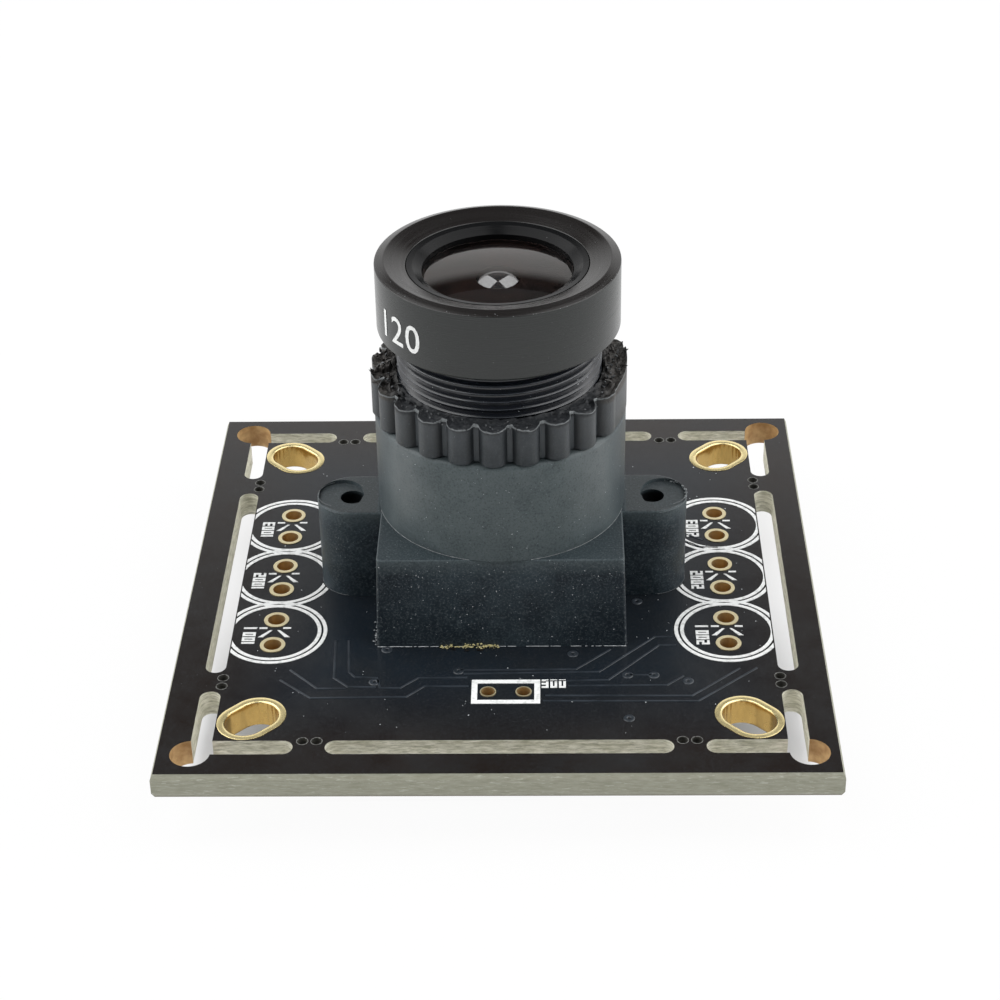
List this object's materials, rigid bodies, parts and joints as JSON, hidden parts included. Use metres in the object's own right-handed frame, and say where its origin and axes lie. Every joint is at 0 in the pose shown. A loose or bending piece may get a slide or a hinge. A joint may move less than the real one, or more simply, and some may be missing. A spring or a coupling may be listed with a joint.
{
  "type": "board camera module",
  "caption": "Square circuit board with a lens holder, a screw-in focusing lens with a toothed lock ring, and rows of lamp holes on both sides.",
  "frame": {"origin": "centre of the four corner holes of the board, on the board's underside", "axes": "+Z out of the lens, -Y towards the edge with the light sensor's two holes"},
  "size_m": [0.0383, 0.0383, 0.0266],
  "materials": {
    "solder_mask": "semi-gloss black solder mask over glass-fibre laminate",
    "gold": "thin gold over copper",
    "print_white": "screen-printed ink, slightly worn",
    "holder_plastic": "black glass-filled moulding, satin",
    "ring_plastic": "black moulding, rough torn upper edge",
    "barrel_metal": "black anodised, turned",
    "lens_glass": "coated optical glass",
    "filter_glass": "infra-red cut filter",
    "spacer_metal": "black anodised",
    "screw_steel": "blackened steel",
    "sensor_body": "sensor package and silicon",
    "chip_black": "moulded epoxy package",
    "tin": "tinned leads and terminals",
    "capacitor": "ceramic chip",
    "inductor": "pressed ferrite",
    "crystal_metal": "metal lid",
    "connector_plastic": "natural nylon housing"
  },
  "bodies": {
    "camera_body": {"circuit_board": "solder_mask", "mounting_slot_plating": "gold", "lamp_hole_plating": "gold", "light_sensor_hole_plating": "gold", "board_print": "print_white", "lens_holder": "holder_plastic", "holder_screws": "screw_steel", "image_sensor": "sensor_body", "sensor_cover_glass": "filter_glass", "ir_cut_filter": "filter_glass", "processor": "chip_black", "flash_chip": "chip_black", "flash_chip_leads": "tin", "voltage_regulators": "chip_black", "regulator_leads": "tin", "ceramic_capacitors": "capacitor", "chip_resistors": "chip_black", "chip_terminals": "tin", "power_inductor": "inductor", "clock_crystal": "crystal_metal", "cable_connector_housing": "connector_plastic", "cable_connector_pins": "tin", "lamp_connector_housing": "connector_plastic", "lamp_connector_pins": "tin"},
    "lens_stack": {"rear_element": "lens_glass", "rear_spacer": "spacer_metal", "fourth_element": "lens_glass", "aperture_stop": "spacer_metal", "third_element": "lens_glass", "middle_spacer": "spacer_metal", "second_element": "lens_glass", "front_spacer": "spacer_metal", "front_element": "lens_glass"},
    "lens_barrel": {"lens_barrel": "barrel_metal", "lens_print": "print_white", "front_retaining_ring": "barrel_metal"},
    "lock_ring": {"lock_ring": "ring_plastic"}
  },
  "joints": [
    {"name": "focus_travel", "type": "slide", "parent": "camera_body", "child": "lens_stack", "axis": [0, 0, 1], "range_m": [-0.001, 0.003]},
    {"name": "lens_turn", "type": "hinge", "parent": "lens_stack", "child": "lens_barrel", "pos_m": [0, 0.00015, 0.016], "axis": [0, 0, 1], "range_deg": [-720, 2160]},
    {"name": "lock_ring_turn", "type": "hinge", "parent": "camera_body", "child": "lock_ring", "pos_m": [0, 0.00015, 0.0152], "axis": [0, 0, 1], "range_deg": [0, 180]}
  ],
  "couplings": [
    {"joint": "focus_travel", "follows": "lens_turn", "m_per_rad": 0.000079577}
  ]
}
